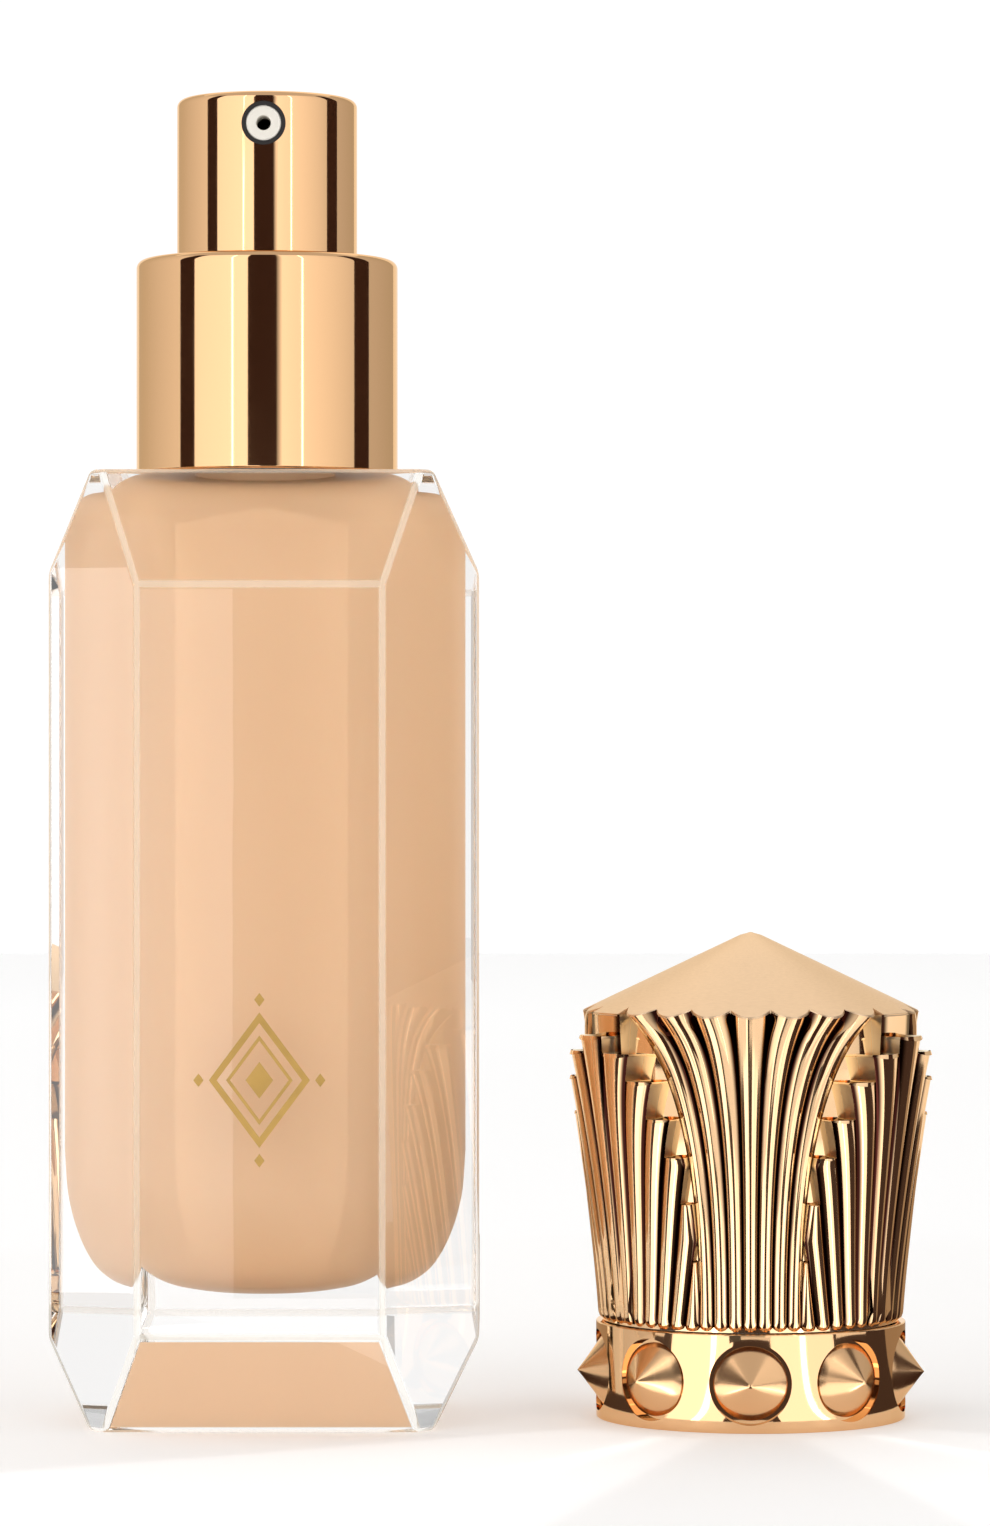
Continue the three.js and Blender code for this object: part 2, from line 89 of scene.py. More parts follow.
class Value:
    """A shader socket that holds a number; arithmetic on it adds Math nodes."""

    def __init__(self, finish, socket):
        self.finish = finish
        self.socket = socket

    def _maths(self, operation, *values, **settings):
        node = self.finish.node("ShaderNodeMath", operation=operation, **settings)
        for socket, value in zip(node.inputs, values):
            self.finish.feed(socket, value)
        return Value(self.finish, node.outputs[0])

    def __add__(self, other): return self._maths("ADD", self, other)
    def __radd__(self, other): return self._maths("ADD", other, self)
    def __sub__(self, other): return self._maths("SUBTRACT", self, other)
    def __rsub__(self, other): return self._maths("SUBTRACT", other, self)
    def __mul__(self, other): return self._maths("MULTIPLY", self, other)
    def __rmul__(self, other): return self._maths("MULTIPLY", other, self)
    def __truediv__(self, other): return self._maths("DIVIDE", self, other)
    def __pow__(self, other): return self._maths("POWER", self, other)
    def clamped(self): return self._maths("ADD", self, 0.0, use_clamp=True)
    def absolute(self): return self._maths("ABSOLUTE", self)


class Finish:
    """A material whose surface is one Principled shader, and the nodes that feed it."""

    def __init__(self, name, color, roughness, **constants):
        self.material = bpy.data.materials.new(name)
        self.material.use_nodes = True
        self.tree = self.material.node_tree
        self.shader = self.tree.nodes["Principled BSDF"]
        self.output = self.tree.nodes["Material Output"]
        self.set("Base Color", (*color, 1.0))
        self.set("Roughness", roughness)
        for socket, value in constants.items():
            self.set(socket.replace("_", " "), value)

    def set(self, socket, value):
        self.feed(self.shader.inputs[socket], value)

    def feed(self, socket, value):
        if isinstance(value, Value):
            self.tree.links.new(value.socket, socket)
        elif isinstance(value, bpy.types.NodeSocket):
            self.tree.links.new(value, socket)
        else:
            socket.default_value = value

    def node(self, kind, inputs=None, **settings):
        node = self.tree.nodes.new(kind)
        for name, value in settings.items():
            setattr(node, name, value)
        for name, value in (inputs or {}).items():
            self.feed(node.inputs[name], value)
        return node

    def place(self, scale=(1, 1, 1), turn=(0, 0, 0), shift=(0, 0, 0)):
        """The point on the piece, in metres, moved, turned and scaled."""
        coords = self.node("ShaderNodeTexCoord").outputs["Object"]
        mapping = self.node("ShaderNodeMapping", {
            "Vector": coords, "Scale": scale, "Rotation": turn, "Location": shift})
        return mapping.outputs["Vector"]

    def noise(self, vector, scale, detail=3.0, roughness=0.5):
        node = self.node("ShaderNodeTexNoise", {
            "Vector": vector, "Scale": scale, "Detail": detail, "Roughness": roughness})
        return Value(self, node.outputs["Fac"])

    def blend(self, factor, first, second):
        node = self.node("ShaderNodeMix", data_type="RGBA")
        self.feed(node.inputs[0], factor)
        self.feed(node.inputs[6], (*first, 1.0) if isinstance(first, tuple) else first)
        self.feed(node.inputs[7], (*second, 1.0) if isinstance(second, tuple) else second)
        return node.outputs[2]

    def bump(self, height, strength, distance):
        node = self.node("ShaderNodeBump", {
            "Height": height, "Strength": strength, "Distance": distance})
        self.set("Normal", node.outputs["Normal"])

    def paint_groove_light(self, plain):
        """Painted shade and highlight: near-black brown is painted towards the grooves for their dark reflections, and
        pale gold on faces marked below zero, the step walls; the crests keep the plain gold.
        """
        depth = Value(self, self.node("ShaderNodeAttribute", attribute_name="groove").outputs["Fac"])
        painted_shade = ((depth - 0.56) * 3.2).clamped()
        painted_shade = painted_shade * painted_shade * (3.0 - 2.0 * painted_shade)
        painted_highlight = (depth * -1.0).clamped()
        highlighted = self.blend(painted_highlight, plain, HIGHLIGHT_GOLD)
        self.set("Base Color", self.blend(painted_shade, highlighted, GROOVE_SHADE))
        self.set("Roughness", 0.06 + 0.22 * painted_highlight)

    def lit_through(self, surface):
        """Lamps shine through the glass, so that what it holds isn't in its shadow."""
        clear = self.node("ShaderNodeBsdfTransparent")
        rays = self.node("ShaderNodeLightPath")
        mix = self.node("ShaderNodeMixShader", {
            0: rays.outputs["Is Shadow Ray"],
            1: surface.outputs["Shader"],
            2: clear.outputs["BSDF"]})
        self.feed(self.output.inputs["Surface"], mix.outputs["Shader"])


# ---- Finishes ----

CLEAR = (0.960, 0.960, 0.958)
# Painted shade for the glass's outlines.
SILHOUETTE_SHADE = (0.42, 0.40, 0.38)
# Painted highlight for the glass's rounded edges.
EDGE_LIGHT = (1.0, 0.95, 0.82, 1.0)


def flint_glass():
    finish = Finish("flint_glass", CLEAR, 0.0, Transmission_Weight=1.0, IOR=1.5)
    # Painted shade: the colour turns darker grey where the glass faces away from the view, drawing dark outlines at its
    # edges.
    facing_away = Value(finish, finish.node("ShaderNodeLayerWeight", {"Blend": 0.5}).outputs["Facing"])
    finish.set("Base Color", finish.blend(((facing_away - 0.72) * 4.0).clamped(), CLEAR, SILHOUETTE_SHADE))
    waves = finish.noise(finish.place(), 60.0, 1.0)
    finish.bump(waves, 0.02, 0.0004)
    # Painted highlight: a pale diffuse layer over the rounded edge strips stands in for the bright lines that light
    # draws along the glass's edges.
    edge = Value(finish, finish.node("ShaderNodeAttribute", attribute_name="edge").outputs["Fac"])
    edge_highlight = finish.node("ShaderNodeBsdfDiffuse", {"Color": EDGE_LIGHT})
    surface = finish.node("ShaderNodeMixShader", {
        0: edge * edge * 0.3, 1: finish.shader.outputs["BSDF"], 2: edge_highlight.outputs["BSDF"]})
    finish.lit_through(surface)
    return finish.material


FOUNDATION = (0.88, 0.56, 0.323)


def cream_foundation(name="cream_foundation", color=FOUNDATION):
    """Fluid foundation: an opaque cream with faint settled streaks."""
    finish = Finish(name, color, 0.45, Subsurface_Weight=0.15,
                    Subsurface_Scale=0.002, Subsurface_Radius=(1.0, 0.5, 0.3))
    streaks = finish.noise(finish.place(scale=(1, 1, 0.3)), 90.0, 2.0)
    finish.set("Base Color", finish.blend(streaks, color, tuple(c * 0.97 for c in color)))
    return finish.material


GOLD = (0.85, 0.52, 0.275)
# The crown's gold is painted lighter than GOLD, as painted highlight for its brighter glints.
CROWN_LIT = (0.98, 0.64, 0.36)
SATIN = (0.83, 0.60, 0.395)
FOIL = (0.40, 0.245, 0.07)
GOLD_EDGE = (1.0, 0.86, 0.66, 1.0)
# Painted shade for the crown's grooves (near-black brown) and painted highlight for its step walls (pale gold).
GROOVE_SHADE = (0.030, 0.007, 0.005)
HIGHLIGHT_GOLD = (1.0, 0.93, 0.74)


def polished_gold(name="polished_gold", color=GOLD, groove_light=False, softness=0.03):
    """Mirror-bright gold with a faint ripple from forming and a little haze."""
    finish = Finish(name, color, 0.05, Metallic=1.0, Specular_Tint=GOLD_EDGE)
    haze = finish.noise(finish.place(), 220.0, 4.0)
    finish.set("Roughness", softness + 0.05 * haze)
    tone = finish.noise(finish.place(), 35.0, 2.0)
    plain = finish.blend(tone, color, tuple(channel * 0.94 for channel in color))
    finish.set("Base Color", plain)
    ripple = finish.noise(finish.place(scale=(1, 1, 0.5)), 130.0, 1.0)
    finish.bump(ripple, 0.03, 0.0002)
    # Paints shade into the grooves and a highlight onto the step walls.
    if groove_light:
        finish.paint_groove_light(plain)
    return finish.material


def foil_gold():
    """Stamped foil: a soft, slightly mottled metal."""
    finish = Finish("foil_gold", FOIL, 0.35, Metallic=0.8)
    mottle = finish.noise(finish.place(), 700.0, 3.0)
    finish.set("Base Color", finish.blend(mottle, FOIL, tuple(c * 1.35 for c in FOIL)))
    finish.set("Roughness", 0.34 + 0.15 * mottle)
    finish.bump(mottle, 0.06, 0.00003)
    return finish.material


def satin_gold():
    """Gold with fine turned brushing that runs round the cap's axis."""
    finish = Finish("satin_gold", SATIN, 0.35, Metallic=1.0, Specular_Tint=GOLD_EDGE)
    centred = finish.place(shift=(-CAP_X * MM, 0, 0))
    parts = finish.node("ShaderNodeSeparateXYZ", {"Vector": centred})
    x, y, z = (Value(finish, parts.outputs[i]) for i in range(3))
    radius = (x * x + y * y) ** 0.5
    angle = finish.node("ShaderNodeMath", operation="ARCTAN2")
    finish.feed(angle.inputs[0], y)
    finish.feed(angle.inputs[1], x)
    rings = finish.node("ShaderNodeCombineXYZ", {
        "X": Value(finish, angle.outputs[0]) * 0.004, "Y": radius, "Z": z})
    brushing = finish.noise(rings.outputs["Vector"], 5200.0, 3.0, 0.6)
    finish.set("Roughness", 0.30 + 0.14 * brushing)
    finish.set("Base Color", finish.blend(brushing, SATIN, tuple(c * 0.88 for c in SATIN)))
    finish.bump(brushing, 0.10, 0.00005)
    return finish.material


def moulded_plastic(name, color, roughness):
    """Moulded plastic: an even colour with a very fine grain."""
    finish = Finish(name, color, roughness)
    grain = finish.noise(finish.place(), 1800.0, 2.0)
    tone = finish.noise(finish.place(), 60.0, 2.0)
    finish.set("Base Color", finish.blend(tone, color, tuple(c * 0.94 for c in color)))
    finish.set("Roughness", roughness - 0.05 + 0.1 * grain)
    finish.bump(grain, 0.05, 0.00004)
    return finish.material


def spring_steel():
    finish = Finish("spring_steel", (0.55, 0.56, 0.58), 0.3, Metallic=1.0)
    drawn = finish.noise(finish.place(scale=(1, 1, 4)), 900.0, 3.0)
    finish.set("Roughness", 0.22 + 0.2 * drawn)
    finish.bump(drawn, 0.08, 0.00003)
    return finish.material


def plain_paper():
    finish = Finish("studio_floor", (0.92, 0.92, 0.92), 0.9)
    finish.set("Emission Color", (1.0, 1.0, 1.0, 1.0))
    finish.set("Emission Strength", 0.12)
    tone = finish.noise(finish.place(), 3.0, 2.0)
    finish.set("Base Color", finish.blend(tone, (0.92, 0.92, 0.92), (0.93, 0.93, 0.93)))
    return finish.material


def gradient_card(name, first, last):
    """A softbox whose light changes evenly from one side to the other."""
    finish = Finish(name, (0.0, 0.0, 0.0), 1.0, Emission_Strength=1.0)
    across = Value(finish, finish.node("ShaderNodeAttribute", attribute_name="across").outputs["Fac"])
    finish.set("Emission Color", finish.blend(across, (first, first * 0.99, first * 0.98),
                                              (last, last * 0.99, last * 0.98)))
    return finish.material


def card(name, color, strength=0.0):
    finish = Finish(name, (0.0, 0.0, 0.0) if strength else color, 1.0)
    if strength:
        finish.set("Emission Color", (*color, 1.0))
        finish.set("Emission Strength", strength)
    return finish.material


FINISHES = {
    "glass": flint_glass(),
    "foundation": cream_foundation(),
    "polished_gold": polished_gold(),
    "satin_gold": satin_gold(),
    "cream_plastic": moulded_plastic("cream_plastic", (0.86, 0.82, 0.74), 0.35),
    "clear_plastic": moulded_plastic("clear_plastic", (0.80, 0.79, 0.75), 0.25),
    "black_plastic": moulded_plastic("black_plastic", (0.012, 0.010, 0.010), 0.4),
    "seal": moulded_plastic("seal", (0.74, 0.71, 0.65), 0.7),
    "steel": spring_steel(),
}
# The crown's gold: painted lighter, with painted shade in its grooves and painted highlight on its step walls.
CROWN_GOLD = polished_gold("crown_gold", CROWN_LIT, groove_light=True)
STUD_GOLD = polished_gold("stud_gold", softness=0.17)
FOIL_GOLD = foil_gold()
# Painted reflection: a brighter peach for the sheet under the front base slant.
BASE_REFLECTION = cream_foundation("base_reflection_sheet", (1.0, 0.68, 0.43))


# ---- Mesh building ----

def shade_evenly(piece):
    """Gives flat faces their own direction, so that only the rounded edges bend the light."""
    even = piece.modifiers.new("even", "WEIGHTED_NORMAL")
    even.keep_sharp = True
    even.weight = 100
    graph = bpy.context.evaluated_depsgraph_get()
    shaded = bpy.data.meshes.new_from_object(piece.evaluated_get(graph))
    old = piece.data
    piece.modifiers.clear()
    piece.data = shaded
    name = old.name
    bpy.data.meshes.remove(old)
    shaded.name = name


def finished(name, bm, slot, body, *nodes, sharp=30, material=None):
    """Makes a mesh object of a bmesh in millimetres, puts it on its body and dresses it."""
    bmesh.ops.remove_doubles(bm, verts=bm.verts, dist=1e-5)
    bmesh.ops.recalc_face_normals(bm, faces=bm.faces)
    bmesh.ops.scale(bm, verts=bm.verts, vec=(MM, MM, MM))
    mesh = bpy.data.meshes.new(name)
    bm.to_mesh(mesh)
    bm.free()
    mesh.shade_smooth()
    mesh.set_sharp_from_angle(angle=math.radians(sharp))
    piece = bpy.data.objects.new(name, mesh)
    bpy.context.collection.objects.link(piece)
    mesh.materials.append(material or FINISHES[slot])
    shade_evenly(piece)
    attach(piece, body)
    if nodes:
        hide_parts(*nodes)
    return piece


def arc(centre, radii, start, end, steps):
    """Points along part of an ellipse, from one angle to another in degrees."""
    angles = [math.radians(start + (end - start) * i / steps) for i in range(steps + 1)]
    return [(centre[0] + radii[0] * math.cos(a), centre[1] + radii[1] * math.sin(a)) for a in angles]


def turned(bm, profile, steps=160):
    """Spins a profile of (radius, height) points round +Z. One that misses the axis is closed."""
    verts = [bm.verts.new((radius, 0, height)) for radius, height in profile]
    edges = [bm.edges.new(pair) for pair in zip(verts, verts[1:])]
    if profile[0][0] > 0 or profile[-1][0] > 0:
        edges.append(bm.edges.new((verts[-1], verts[0])))
    spun = bmesh.ops.spin(bm, geom=verts + edges, axis=(0, 0, 1), cent=(0, 0, 0),
                          angle=TAU, steps=steps, use_merge=True)
    bmesh.ops.remove_doubles(bm, verts=bm.verts, dist=1e-5)
    return spun


def rounded(points, size, steps=5):
    """Rounds each corner of an open outline by a small arc, drawn as a quadratic curve."""
    out = [points[0]]
    for before, corner, after in zip(points, points[1:], points[2:]):
        here = Vector(corner)
        back, ahead = Vector(before) - here, Vector(after) - here
        cut = min(size, back.length * 0.45, ahead.length * 0.45)
        start, end = here + back.normalized() * cut, here + ahead.normalized() * cut
        for i in range(steps + 1):
            t = i / steps
            point = start * (1 - t) ** 2 + here * 2 * t * (1 - t) + end * t ** 2
            out.append(tuple(point))
    return out + [points[-1]]


def cut_away(bm, point, normal):
    """Cuts off what lies beyond a plane and closes the cut."""
    everything = bm.verts[:] + bm.edges[:] + bm.faces[:]
    cut = bmesh.ops.bisect_plane(bm, geom=everything, plane_co=point, plane_no=normal,
                                 clear_outer=True, dist=1e-5)
    edges = [item for item in cut["geom_cut"] if isinstance(item, bmesh.types.BMEdge)]
    bmesh.ops.edgeloop_fill(bm, edges=edges)


def combine(base, others, operation):
    """A new mesh: base with the other bmeshes joined to it or cut from it."""
    objects = []
    for bm in [base, *others]:
        bmesh.ops.recalc_face_normals(bm, faces=bm.faces)
        mesh = bpy.data.meshes.new("shape")
        bm.to_mesh(mesh)
        bm.free()
        objects.append(bpy.data.objects.new("shape", mesh))
        bpy.context.collection.objects.link(objects[-1])
    for other in objects[1:]:
        change = objects[0].modifiers.new("change", "BOOLEAN")
        change.operation = operation
        change.solver = "EXACT"
        change.object = other
    graph = bpy.context.evaluated_depsgraph_get()
    result = bmesh.new()
    result.from_mesh(objects[0].evaluated_get(graph).to_mesh())
    for made in objects:
        mesh = made.data
        bpy.data.objects.remove(made)
        bpy.data.meshes.remove(mesh)
    return result


# ---- Bottle ----

WIDTH = glass_high.x - glass_low.x
DEPTH = glass_high.y - glass_low.y
SHOULDER_TOP = 84.5
CORNER = (8.35, 9.0)
SHOULDER_SIDE, SHOULDER_FRONT = (4.05, 8.9), (3.6, 10.2)
BASE_SIDE, BASE_FRONT = (4.0, 7.7), (3.4, 8.7)
EDGE_ROUND = 0.5
BORE, NECK, THREAD = 6.2, 8.2, 0.8


def emerald_block(rounded_edges=True):
    """A block with chamfered corners and slanted facets round its shoulder and base."""
    bm = bmesh.new()
    bmesh.ops.create_cube(bm, size=1.0, matrix=Matrix.Translation((0, 0, SHOULDER_TOP / 2))
                          @ Matrix.Diagonal((WIDTH, DEPTH, SHOULDER_TOP, 1)))
    for sx in (-1, 1):
        for sy in (-1, 1):
            point = (sx * (WIDTH / 2 - CORNER[0]), sy * DEPTH / 2, 0)
            cut_away(bm, point, (sx * CORNER[1], sy * CORNER[0], 0))
    slants = [(0, WIDTH / 2, SHOULDER_SIDE, 1), (1, DEPTH / 2, SHOULDER_FRONT, 1),
              (0, WIDTH / 2, BASE_SIDE, -1), (1, DEPTH / 2, BASE_FRONT, -1)]
    for axis, half, (inset, height), upward in slants:
        for side in (-1, 1):
            point, normal = Vector((0, 0, 0)), Vector((0, 0, upward * inset))
            point[axis] = side * (half - inset)
            point.z = SHOULDER_TOP if upward > 0 else 0.0
            normal[axis] = side * height
            cut_away(bm, point, normal)
    bmesh.ops.recalc_face_normals(bm, faces=bm.faces)
    if rounded_edges:
        # The edge layer marks the rounded edge strips, where the glass gets its painted highlight.
        edge = bm.loops.layers.float.new("edge")
        made = bmesh.ops.bevel(bm, geom=bm.edges[:], offset=EDGE_ROUND, offset_type="OFFSET", segments=4,
                        profile=0.5, affect="EDGES", material=-1, clamp_overlap=True)
        strips = set(made["faces"])
        for loop in (loop for face in strips for loop in face.loops):
            loop[edge] = float(all(face in strips for face in loop.vert.link_faces))
    return bm


WELL_TOP, WELL_ROUND = 1.7, 3.8
WELL_HALF, WELL_FLOOR = 14.5, 11.5
WELL_BOWL = [(0, 0), (5, 0.25), (8.4, 0.85), (10.6, 2.0), (12.2, 3.9), (13.4, 6.2), (14.2, 8.8), (14.5, 12.5)]


def well_profile(gap):
    """Half of the hollow's outline, as radius along X against height."""
    half, roof = WELL_HALF - gap, SHOULDER_TOP - WELL_TOP - gap
    low = [(radius * half / WELL_HALF, WELL_FLOOR + gap + height) for radius, height in rounded(WELL_BOWL, 5.0)]
    high = arc((half - WELL_ROUND, roof - WELL_ROUND), (WELL_ROUND, WELL_ROUND), 0, 90, 12)
    return [*low, *high, (0, roof)]


def well(gap, steps=160):
    bm = bmesh.new()
    turned(bm, well_profile(gap), steps)
    bmesh.ops.scale(bm, verts=bm.verts, vec=(1, (11.5 - gap) / (14.5 - gap), 1))
    return bm


def ridge(radius, start_turn):
    """A round thread ridge of one and a half turns about a radius."""
    bm = bmesh.new()
    steps = 72
    made = bmesh.ops.create_circle(bm, cap_ends=True, segments=12, radius=THREAD,
                                   matrix=Matrix.Translation((radius, 0, SHOULDER_TOP + 2.1))
                                   @ Matrix.Rotation(math.radians(90), 4, "X"))
    bmesh.ops.rotate(bm, verts=made["verts"], cent=(0, 0, 0),
                     matrix=Matrix.Rotation(start_turn, 3, "Z"))
    cap = bm.faces[:]
    bmesh.ops.spin(bm, geom=bm.verts[:] + bm.edges[:] + cap, axis=(0, 0, 1), cent=(0, 0, 0),
                   dvec=(0, 0, 4.5 / steps), angle=TAU * 1.5, steps=steps)
    return bm


def glass_bottle():
    neck = bmesh.new()
    top = glass_high.z
    turned(neck, rounded([(0, SHOULDER_TOP - 1), (NECK, SHOULDER_TOP - 1), (NECK, top), (0, top)],
                         0.5), 96)
    bore = bmesh.new()
    turned(bore, [(0, SHOULDER_TOP - 4), (BORE, SHOULDER_TOP - 4), (BORE, top + 1), (0, top + 1)], 96)
    hollow = combine(well(0.0), [bore], "UNION")
    body = combine(emerald_block(), [neck], "UNION")
    body = combine(body, [hollow], "DIFFERENCE")
    body = combine(body, [ridge(NECK, 0.0)], "UNION")
    return finished("bottle_glass", body, "glass", "bottle", "glass_bottle", sharp=18)


def paint_base_reflection():
    """A peach sheet just under the glass of the front base slant: a painted reflection of the peach that the glass
    shows there.
    """
    bm = emerald_block(rounded_edges=False)
    inset, rise = BASE_FRONT
    slant = Vector((0, -rise, -inset)).normalized()
    face = max(bm.faces, key=lambda face: face.normal.dot(slant))
    bmesh.ops.delete(bm, geom=[other for other in bm.faces if other is not face], context="FACES")
    rim = bmesh.ops.inset_region(bm, faces=bm.faces[:], thickness=0.5, use_boundary=True,
                                  use_even_offset=True)
    bmesh.ops.delete(bm, geom=rim["faces"], context="FACES")
    bmesh.ops.translate(bm, verts=bm.verts, vec=-0.15 * slant)
    bmesh.ops.solidify(bm, geom=bm.faces[:], thickness=0.05)
    return finished("base_reflection_sheet", bm, "foundation", "bottle", material=BASE_REFLECTION)


def lozenge(bm, width, height, line, at):
    """A foil lozenge on the front face; a line of no width makes it solid."""
    made = bmesh.ops.create_circle(bm, cap_ends=True, segments=4, radius=1.0)
    faces = list({face for vert in made["verts"] for face in vert.link_faces})
    bmesh.ops.scale(bm, verts=made["verts"], vec=(width / 2, height / 2, 1))
    if line:
        rim = bmesh.ops.inset_region(bm, faces=faces, thickness=line, use_boundary=True,
                                      use_even_offset=True)
        bmesh.ops.delete(bm, geom=faces, context="FACES")
        faces = rim["faces"]
    verts = list({vert for face in faces for vert in face.verts})
    bmesh.ops.rotate(bm, verts=verts, cent=(0, 0, 0), matrix=Matrix.Rotation(math.radians(90), 3, "X"))
    bmesh.ops.translate(bm, verts=verts, vec=(at[0], glass_low.y - 0.04, at[1]))


def foil_mark():
    """A plain ornament in gold foil: nested lozenges with a small one at each point."""
    bm = bmesh.new()
    middle = 31.1
    lozenge(bm, 8.8, 11.8, 0.55, (0, middle))
    lozenge(bm, 5.8, 7.8, 0.28, (0, middle))
    lozenge(bm, 2.4, 3.2, 0, (0, middle))
    for x, z in ((0, 7.0), (0, -7.0), (5.3, 0), (-5.3, 0)):
        lozenge(bm, 0.9, 1.2, 0, (x, middle + z))
    bmesh.ops.recalc_face_normals(bm, faces=bm.faces)
    bmesh.ops.solidify(bm, geom=bm.faces[:], thickness=0.02)
    finished("foil_mark", bm, "polished_gold", "bottle", material=FOIL_GOLD)


def foundation_fill():
    """The foundation wets the glass, so its surface sits a hair inside the wall of the well."""
    fill = well(-0.03)
    room = bmesh.new()
    turned(room, [(0, 14.4), (1.8, 14.4), (1.8, 57.7), (3.05, 57.7), (3.05, 62), (5.8, 65.2),
                  (5.8, 90), (0, 90)], 64)
    collar_of_fill = bmesh.new()
    turned(collar_of_fill, [(0, SHOULDER_TOP - 4), (BORE + 0.02, SHOULDER_TOP - 4), (BORE + 0.02, 84.4), (0, 84.4)], 96)
    fill = combine(fill, [collar_of_fill], "UNION")
    fill = combine(fill, [room], "DIFFERENCE")
    return finished("foundation_fill", fill, "foundation", "bottle", "foundation_fluid")


# ---- Collar and head ----

def shell_profile(radius, wall, edge, bottom, top, opening):
    """A turned cup seen in section, with a rounded rim at the top and a small roll at the foot."""
    outer = arc((radius - edge, top - edge), (edge, edge), 0, 90, 10)
    inner = arc((radius - wall - 0.3, top - wall - 0.3), (0.3, 0.3), 90, 0, 4)
    foot = [(radius - wall, bottom + 0.15), *arc((radius - 0.2, bottom + 0.2), (0.2, 0.2), -90, 0, 4)]
    if not opening:
        return [(0, top - wall), *inner, *foot, *outer, (0, top)]
    lip = arc((opening + 0.2, top - 0.2), (0.2, 0.2), 90, 180, 5)
    return [*foot, *outer, *lip, (opening, top - wall), *inner]


def collar():
    bm = bmesh.new()
    radius = (collar_high.x - collar_low.x) / 2
    turned(bm, shell_profile(radius, 0.5, 0.75, collar_low.z, collar_high.z, 8.4), 192)
    return finished("collar_sleeve", bm, "polished_gold", "collar", "collar_shell")


def head():
    bm = bmesh.new()
    radius = (head_high.x - head_low.x) / 2
    turned(bm, shell_profile(radius, 0.4, 0.7, head_low.z, head_high.z, 0), 192)
    centre = (nozzle_low.z + nozzle_high.z) / 2
    hole = bmesh.new()
    bmesh.ops.create_cone(hole, cap_ends=True, segments=64, radius1=1.96, radius2=1.96, depth=4,
                          matrix=Matrix.Translation((0, -radius, centre))
                          @ Matrix.Rotation(math.radians(90), 4, "X"))
    bm = combine(bm, [hole], "DIFFERENCE")
    return finished("head_sleeve", bm, "polished_gold", "actuator", "actuator_shell", sharp=25)


def nozzle():
    """A cream tip with a rounded rim and a dark bore."""
    bm = bmesh.new()
    front, back = -nozzle_low.y, -nozzle_high.y
    centre = (nozzle_low.z + nozzle_high.z) / 2
    radius = (nozzle_high.x - nozzle_low.x) / 2
    profile = [(0.65, back), (radius, back), *arc((radius - 0.25, front - 0.25), (0.25, 0.25), 0, 90, 6),
               *arc((0.65 + 0.12, front - 0.12), (0.12, 0.12), 90, 180, 4)]
    turned(bm, profile, 64)
    bmesh.ops.rotate(bm, verts=bm.verts, cent=(0, 0, 0),
                     matrix=Matrix.Rotation(math.radians(90), 3, "X"))
    bmesh.ops.translate(bm, verts=bm.verts, vec=(0, 0, centre))
    return finished("nozzle_tip", bm, "cream_plastic", "actuator", "nozzle_insert")


def nozzle_gasket():
    """A black ring that fills the gap between the tip and the hole in the head."""
    bm = bmesh.new()
    inner, outer = (nozzle_high.x - nozzle_low.x) / 2 - 0.02, 1.95
    front, back = (head_high.x - head_low.x) / 2 - 0.12, -nozzle_high.y + 0.3
    turned(bm, [(inner, back), (outer, back), (outer, front), (inner, front)], 64)
    bmesh.ops.rotate(bm, verts=bm.verts, cent=(0, 0, 0),
                     matrix=Matrix.Rotation(math.radians(90), 3, "X"))
    bmesh.ops.translate(bm, verts=bm.verts, vec=(0, 0, (nozzle_low.z + nozzle_high.z) / 2))
    finished("nozzle_gasket", bm, "black_plastic", "actuator")


def spring():
    """A coil of seven turns, standing where the return spring stands."""
    low, high = span("return_spring")
    wire, steps = 0.4, 7 * 40
    coil = (high.x - low.x) / 2 - wire
    rise = high.z - low.z - 2 * wire
    bm = bmesh.new()
    made = bmesh.ops.create_circle(bm, cap_ends=True, segments=12, radius=wire,
                                   matrix=Matrix.Translation((coil, 0, low.z + wire))
                                   @ Matrix.Rotation(math.radians(90), 4, "X"))
    faces = list({face for vert in made["verts"] for face in vert.link_faces})
    bmesh.ops.spin(bm, geom=made["verts"] + bm.edges[:] + faces, axis=(0, 0, 1), cent=(0, 0, 0),
                   dvec=(0, 0, rise / steps), angle=TAU * 7, steps=steps)
    piece = finished("pump_spring", bm, "steel", "pump_core", "return_spring")
    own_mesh(piece)


# ---- Cap ----

CROWN_FOOT = crown_low.z
CROWN_TOP = crown_high.z
CROWN_HEIGHT = CROWN_TOP - CROWN_FOOT
FOOT_RADIUS = 13.7
FAN_SPAN, FAN_RIBS, FAN_SPREAD = 39.2, 7, 1.607
ROOF_FOOT, EAVE, ROOF_APEX = crown_high.z + 0.05, 15.1, roof_high.z + 0.15
ROOF_SLOPE = (ROOF_APEX - ROOF_FOOT) / EAVE
STEP_TOPS = [CROWN_TOP - drop for drop in (1.35, 2.85, 5.3, 8.65, 12.05, 16.25, 21.45)]


def cap_place(bm):
    """Turns a shape made on the cap's axis as the cap is turned, and moves it to where it stands."""
    bmesh.ops.rotate(bm, verts=bm.verts, cent=(0, 0, 0),
                     matrix=Matrix.Rotation(math.radians(CAP_TURN), 3, "Z"))
    bmesh.ops.translate(bm, verts=bm.verts, vec=(CAP_X, 0, 0))


def fan_radius(s): return FOOT_RADIUS + 1.4 * s ** 1.5
def step_radius(s): return FOOT_RADIUS + 2.95 * (s / 0.866) ** 1.3
def fan_opening(s): return 1 + 1.05 * s ** 2.8 + (FAN_SPREAD - 1.05) * s ** 12
def step_opening(s): return 1 + 0.6 * s + s ** 6


